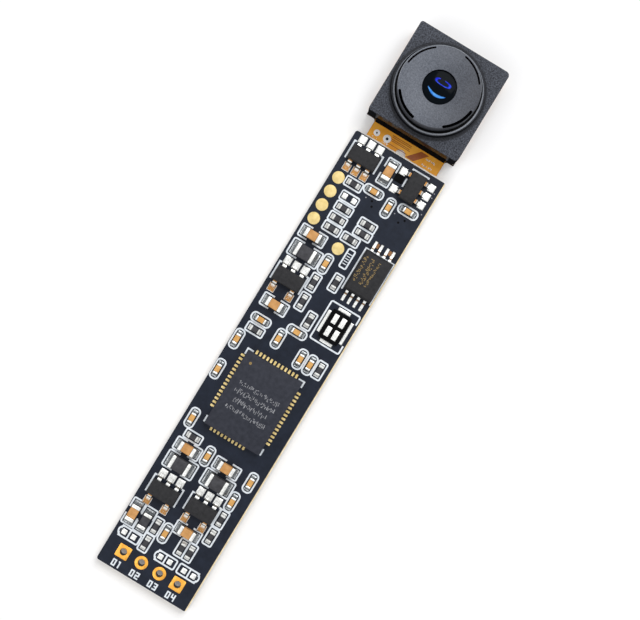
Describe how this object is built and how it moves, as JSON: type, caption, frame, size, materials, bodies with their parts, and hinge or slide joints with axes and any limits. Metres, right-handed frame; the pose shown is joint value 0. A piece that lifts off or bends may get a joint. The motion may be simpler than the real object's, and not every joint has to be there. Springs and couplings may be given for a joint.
{
  "type": "camera module",
  "caption": "Slim circuit board with chips and plated wire holes, a short amber flexible strip and a square camera head with a round lens.",
  "frame": {"origin": "centre of the bounding box, on the surface that the module lies on", "axes": "+Y along the board towards the lens head, +Z out of the chip side and the lens, +X across the board"},
  "size_m": [0.01, 0.0594, 0.0057],
  "materials": {
    "laminate": "matte",
    "dark_coat": "satin",
    "white_print": "matte",
    "gold_pad": "satin",
    "wire_pad_metal": "satin",
    "tin": "satin",
    "chip_plastic": "matte",
    "controller_plastic": "matte",
    "tan_ceramic": "matte",
    "brown_ceramic": "matte",
    "dark_ceramic": "matte",
    "amber_film": "gloss",
    "track_copper": "satin",
    "adhesive": "satin",
    "stiffener_metal": "satin",
    "holder_plastic": "matte",
    "barrel_plastic": "matte",
    "lens_glass": "gloss",
    "filter_glass": "gloss",
    "sensor_glass": "gloss",
    "black_foil": "matte"
  },
  "bodies": {
    "root": {"circuit_board": "laminate", "coat_front": "dark_coat", "coat_back": "dark_coat", "legend_print": "white_print", "wire_pads": "wire_pad_metal", "test_pads": "gold_pad", "jumper_lands": "tin", "resistor_body": "chip_plastic", "resistor_ends": "tin", "resistor_lands": "tin", "small_capacitor_body": "tan_ceramic", "small_capacitor_ends": "tin", "small_capacitor_lands": "tin", "large_capacitor_body": "brown_ceramic", "large_capacitor_ends": "tin", "large_capacitor_lands": "tin", "inductor_body": "dark_ceramic", "inductor_ends": "tin", "inductor_lands": "tin", "bead_body": "dark_ceramic", "bead_ends": "tin", "bead_lands": "tin", "regulator_body": "chip_plastic", "regulator_leads": "tin", "regulator_lands": "tin", "driver_body": "chip_plastic", "driver_leads": "tin", "driver_lands": "tin", "switch_body": "chip_plastic", "switch_leads": "tin", "switch_lands": "tin", "memory_body": "chip_plastic", "memory_leads": "tin", "memory_lands": "tin", "controller_body": "controller_plastic", "controller_lands": "gold_pad", "choke_body": "dark_ceramic", "choke_terminals": "tin", "choke_lands": "tin", "flex_strip": "amber_film", "flex_traces": "track_copper", "flex_print": "white_print", "flex_joints": "tin", "fixing_bead": "adhesive", "head_stiffener": "stiffener_metal", "sensor_balls": "tin", "image_sensor": "sensor_glass", "holder_glue": "adhesive", "lens_holder": "holder_plastic", "infrared_filter": "filter_glass", "lens_barrel": "barrel_plastic", "front_element": "lens_glass", "aperture_ring": "black_foil", "second_element": "lens_glass", "third_element": "lens_glass", "rear_element": "lens_glass", "retaining_ring": "black_foil"}
  },
  "joints": []
}
